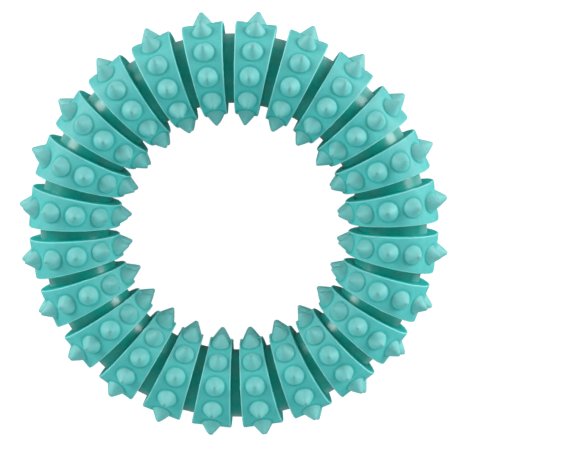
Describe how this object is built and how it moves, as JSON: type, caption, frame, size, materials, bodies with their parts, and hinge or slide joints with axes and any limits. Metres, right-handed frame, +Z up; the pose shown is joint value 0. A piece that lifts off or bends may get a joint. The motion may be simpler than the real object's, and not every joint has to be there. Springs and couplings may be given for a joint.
{
  "type": "dog tug ring",
  "caption": "Rubber tug and chew ring for dogs: a smooth round core carries wedge-shaped bands set with blunt cone studs, with deep grooves between them and an open hand hole.",
  "frame": {"origin": "middle of the ring on the plane of the lowest stud tips, where the ring lies flat on a surface", "axes": "+Z up along the ring's axis, +X through the middle of the first band, millimetres in the source"},
  "size_m": [0.16, 0.16, 0.0406],
  "materials": {
    "band_rubber": "matte, fine moulded grain",
    "core_rubber": "smooth, semi-gloss"
  },
  "bodies": {
    "root": {"core_ring": "core_rubber", "studded_band_01": "band_rubber", "studded_band_02": "band_rubber", "studded_band_03": "band_rubber", "studded_band_04": "band_rubber", "studded_band_05": "band_rubber", "studded_band_06": "band_rubber", "studded_band_07": "band_rubber", "studded_band_08": "band_rubber", "studded_band_09": "band_rubber", "studded_band_10": "band_rubber", "studded_band_11": "band_rubber", "studded_band_12": "band_rubber", "studded_band_13": "band_rubber", "studded_band_14": "band_rubber", "studded_band_15": "band_rubber", "studded_band_16": "band_rubber", "studded_band_17": "band_rubber", "studded_band_18": "band_rubber", "studded_band_19": "band_rubber", "studded_band_20": "band_rubber", "studded_band_21": "band_rubber", "studded_band_22": "band_rubber", "studded_band_23": "band_rubber", "studded_band_24": "band_rubber"}
  },
  "joints": []
}
